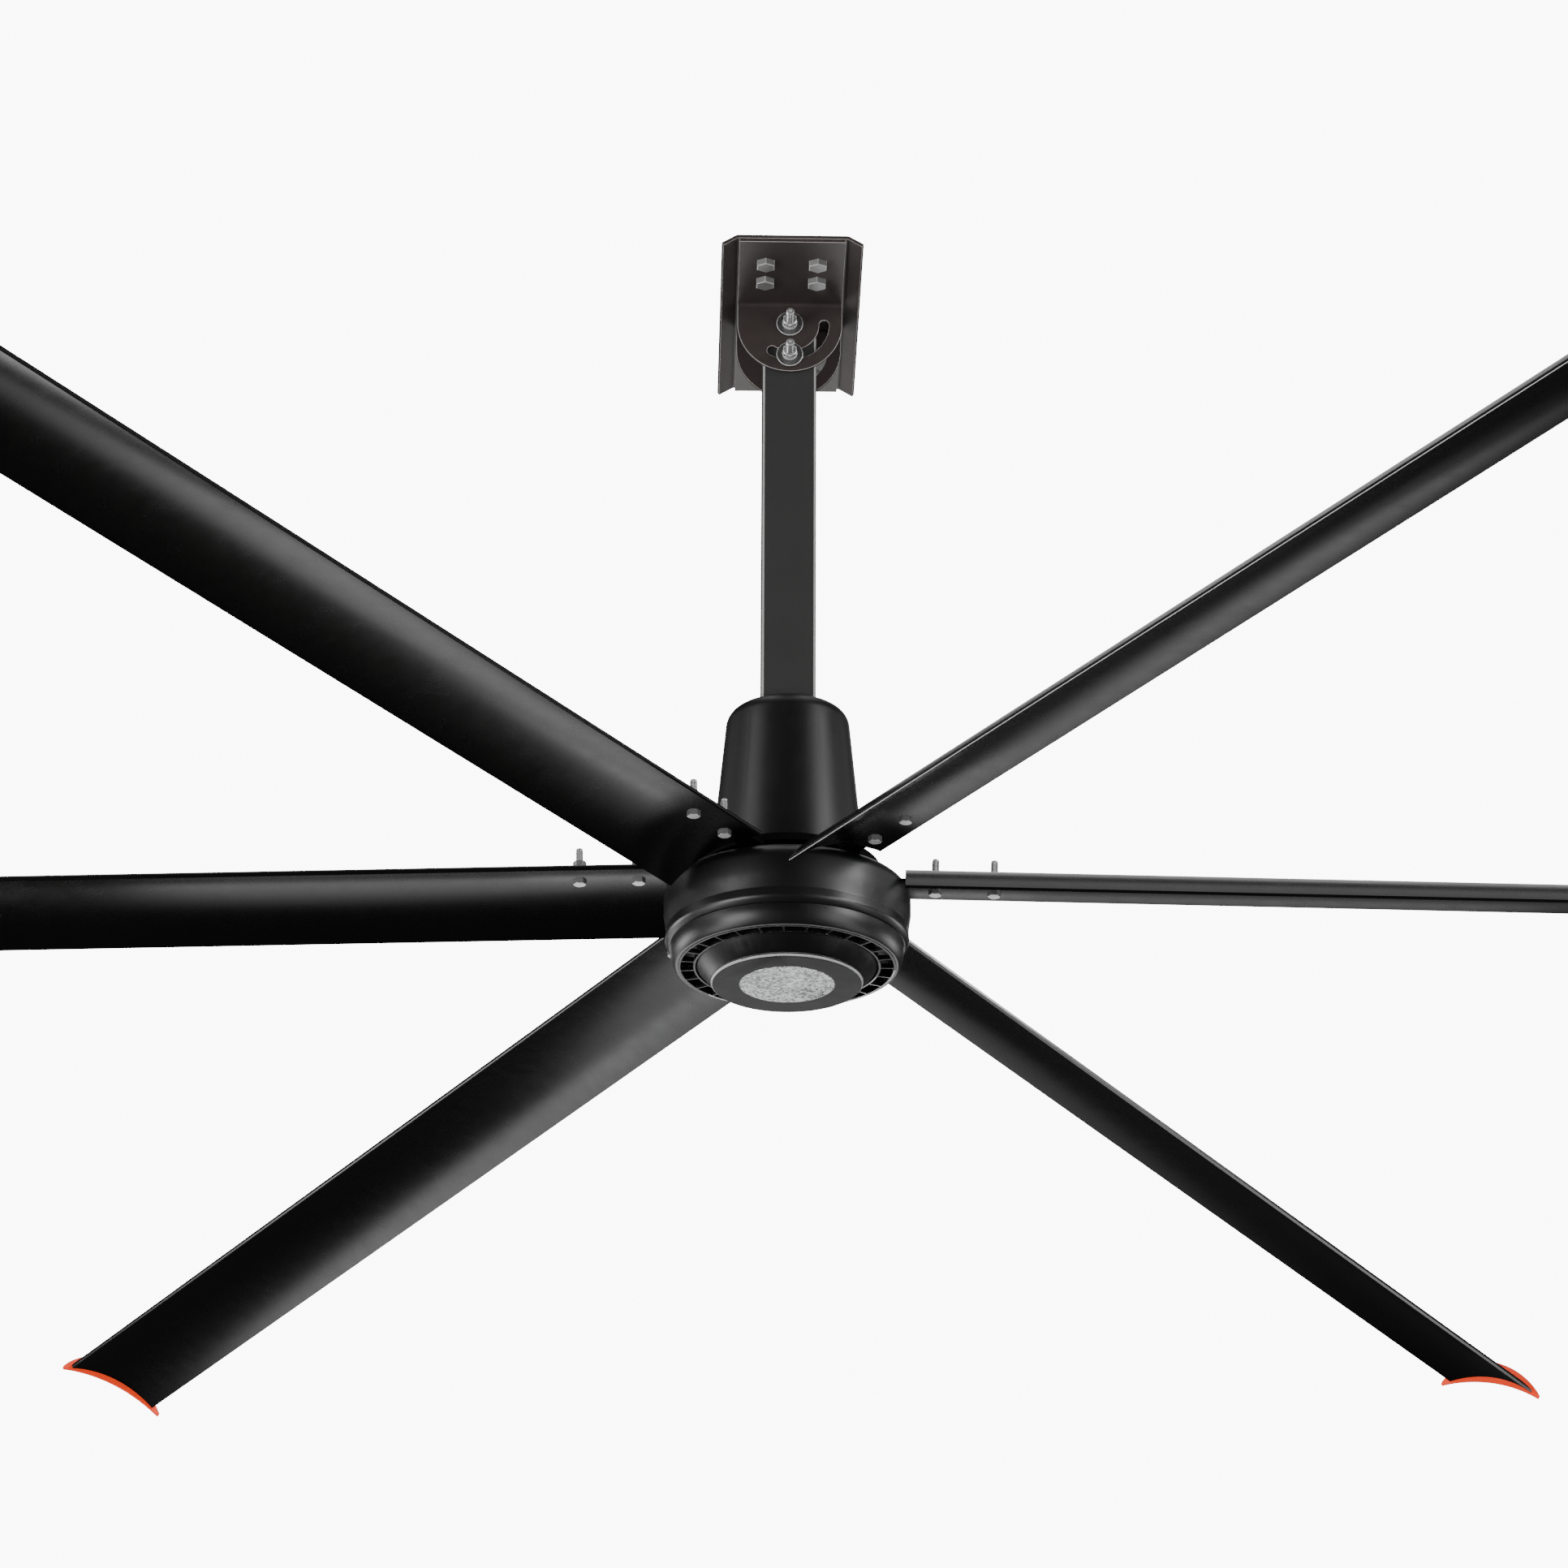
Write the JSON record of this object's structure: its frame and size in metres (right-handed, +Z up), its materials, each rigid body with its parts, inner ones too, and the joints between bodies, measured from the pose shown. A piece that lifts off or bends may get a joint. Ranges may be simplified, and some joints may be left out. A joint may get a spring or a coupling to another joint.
{
  "type": "high volume low speed fan",
  "caption": "Large ceiling fan on a square down rod: tilting bracket, dome, drum motor with lamp and broad drooping blades with end caps.",
  "frame": {"origin": "middle of the ceiling channel's top face, which rests against the roof beam", "axes": "+Z up along the rotor's axis with the rod hanging plumb, +Y along the ceiling channel towards the bolt heads of the pivot and lock bolts, +X to the right seen from the nut side"},
  "size_m": [4.395, 3.9538, 1.0455],
  "materials": {
    "black_steel": "semi-gloss black powder coat on steel",
    "rod_paint": "satin dark grey powder coat on steel",
    "black_blade": "semi-gloss black powder coat on extruded aluminium",
    "black_casting": "semi-gloss black powder coat on cast aluminium",
    "bright_zinc": "bright zinc plated steel",
    "ground_steel": "ground bearing steel",
    "lamination": "varnished electrical steel",
    "copper_wire": "enamelled copper wire",
    "magnet_grey": "nickel plated magnet",
    "orange_plastic": "smooth orange moulded plastic",
    "lens_plastic": "prismatic clear plastic",
    "board_white": "white solder mask",
    "bare_aluminium": "bare cast aluminium"
  },
  "bodies": {
    "ceiling_mount": {"ceiling_channel": "black_steel", "front_ear": "black_steel", "rear_ear": "black_steel", "beam_bolts": "bright_zinc", "pivot_bolt": "bright_zinc", "pivot_nut": "bright_zinc", "pivot_washers": "bright_zinc", "pivot_spring_washer": "bright_zinc"},
    "down_rod": {"downrod_tube": "rod_paint", "tube_foot": "rod_paint", "foot_bolts": "bright_zinc", "coupling_flange": "black_steel", "dome_cover": "black_steel", "stator_shaft": "ground_steel", "shaft_top_nut": "bright_zinc", "stator_core": "lamination", "stator_windings": "copper_wire", "lamp_housing": "black_casting", "lamp_nut": "bright_zinc", "lamp_bezel": "black_casting", "lamp_lens": "lens_plastic", "heat_sink": "bare_aluminium", "led_board": "board_white", "lock_bolt": "bright_zinc", "lock_nut": "bright_zinc", "lock_washers": "bright_zinc", "lock_spring_washer": "bright_zinc"},
    "rotor": {"motor_drum": "black_casting", "lower_cup": "black_casting", "cup_screws": "bright_zinc", "vent_ring": "black_steel", "rotor_yoke": "lamination", "rotor_magnets": "magnet_grey", "upper_bearing": "ground_steel", "lower_bearing": "ground_steel", "hub_plate": "black_steel", "hub_screws": "bright_zinc", "arm_bolts": "black_steel", "blade_bolts": "bright_zinc", "blade_nuts": "bright_zinc", "blade_arm_1": "black_steel", "blade_arm_2": "black_steel", "blade_arm_3": "black_steel", "blade_arm_4": "black_steel", "blade_arm_5": "black_steel", "blade_arm_6": "black_steel", "blade_1": "black_blade", "blade_2": "black_blade", "blade_3": "black_blade", "blade_4": "black_blade", "blade_5": "black_blade", "blade_6": "black_blade", "tip_cap_1": "orange_plastic", "tip_cap_2": "orange_plastic", "tip_cap_3": "orange_plastic", "tip_cap_4": "orange_plastic", "tip_cap_5": "orange_plastic", "tip_cap_6": "orange_plastic"}
  },
  "joints": [
    {"name": "rod_tilt", "type": "hinge", "parent": "ceiling_mount", "child": "down_rod", "pos_m": [0, 0, -0.0415], "axis": [0, -1, 0], "range_deg": [-30, 75]},
    {"name": "rotor_spin", "type": "hinge", "parent": "down_rod", "child": "rotor", "pos_m": [0, 0, -0.9155], "axis": [0, 0, 1], "continuous": true}
  ]
}
